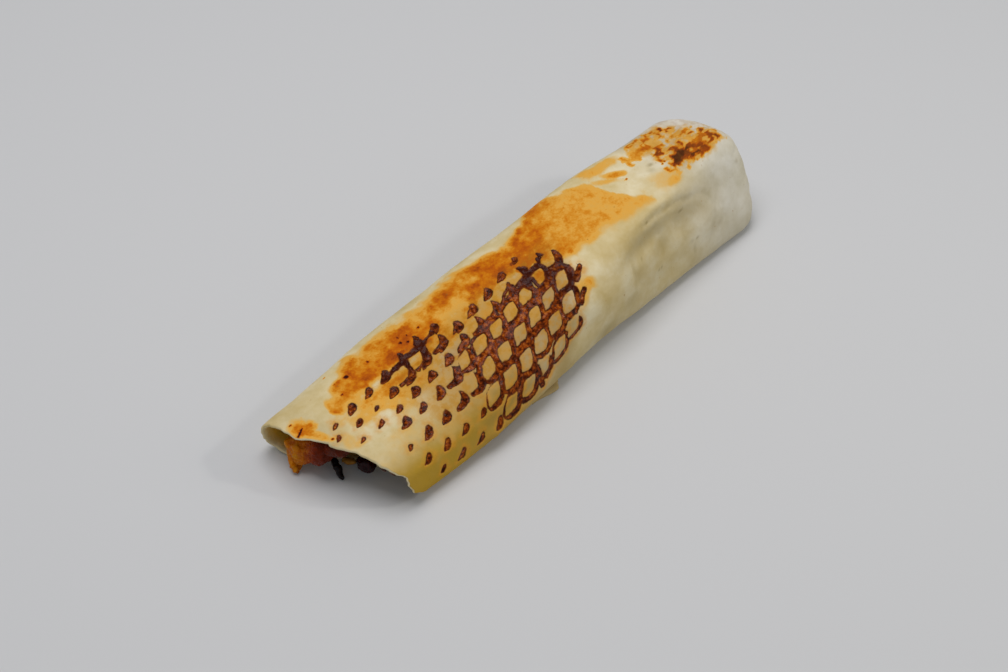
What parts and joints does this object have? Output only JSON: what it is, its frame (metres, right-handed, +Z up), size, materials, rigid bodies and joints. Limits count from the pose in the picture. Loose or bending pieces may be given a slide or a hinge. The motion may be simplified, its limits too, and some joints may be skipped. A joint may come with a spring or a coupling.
{
  "type": "shawarma wrap",
  "caption": "Thin griddled flatbread rolled round a chicken filling, shut at one end and open at the other, where pieces of the filling show.",
  "frame": {"origin": "on the floor, under the middle of the wrap", "axes": "+X along the wrap from its open mouth to its shut end, +Y across it to the left of someone looking along +X, +Z up"},
  "size_m": [0.2716, 0.0764, 0.048],
  "materials": {
    "bread": "dry, soft, with griddle marks and browned patches",
    "filling": "moist, dark, uneven",
    "chicken": "glistening, roasted",
    "dark_onion": "wet, nearly black",
    "fry": "dry, pale tan",
    "beet": "wet, dark red-purple",
    "sliver": "wet, greyish pink"
  },
  "bodies": {
    "root": {"bread": "bread", "filling": "filling", "chicken_piece": "chicken", "onion_strip": "dark_onion", "fry_strip": "fry", "beet_chunk": "beet", "onion_sliver": "sliver", "onion_sliver_far": "sliver"}
  },
  "joints": []
}
